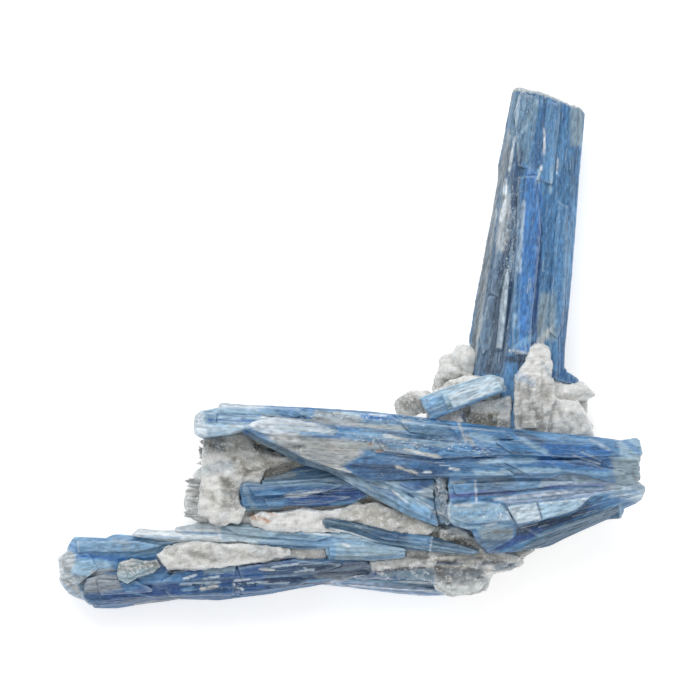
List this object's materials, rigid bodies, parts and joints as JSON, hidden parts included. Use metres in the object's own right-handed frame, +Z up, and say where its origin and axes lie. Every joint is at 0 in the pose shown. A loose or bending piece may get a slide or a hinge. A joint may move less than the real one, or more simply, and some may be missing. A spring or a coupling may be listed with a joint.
{
  "type": "kyanite specimen",
  "caption": "Cluster of blue kyanite blades grown together with milky quartz, lying on its side, one long blade standing out of it.",
  "frame": {"origin": "bottom centre of the specimen's box, on the surface that it rests on", "axes": "+X along the long side of the cluster, +Y towards the tall blade's free end, +Z up from the surface it lies on"},
  "size_m": [0.137, 0.1218, 0.0293],
  "materials": {
    "tall_blade": "glossy on fresh faces, silky along the striations",
    "cross_blade": "glossy on fresh faces, silky along the striations",
    "upper_blade": "glossy on fresh faces, silky along the striations",
    "fan_blade": "glossy on fresh faces, silky along the striations",
    "slant_blade": "glossy on fresh faces, silky along the striations",
    "middle_blade": "glossy on fresh faces, silky along the striations",
    "teal_lath": "glossy on fresh faces, silky along the striations",
    "pale_blade": "glossy on fresh faces, silky along the striations",
    "left_blade": "glossy on fresh faces, silky along the striations",
    "long_lower_blade": "glossy on fresh faces, silky along the striations",
    "bottom_blade": "glossy on fresh faces, silky along the striations",
    "quartz_flake": "broken, waxy to glassy, slightly see-through",
    "quartz_matrix": "broken, waxy to glassy, slightly see-through"
  },
  "bodies": {
    "root": {"tall_blade": "tall_blade", "cross_blade": "cross_blade", "upper_blade": "upper_blade", "fan_blade": "fan_blade", "slant_blade": "slant_blade", "middle_blade": "middle_blade", "teal_lath": "teal_lath", "pale_blade": "pale_blade", "left_blade": "left_blade", "long_lower_blade": "long_lower_blade", "bottom_blade": "bottom_blade", "quartz_flake": "quartz_flake", "quartz_matrix": "quartz_matrix"}
  },
  "joints": []
}
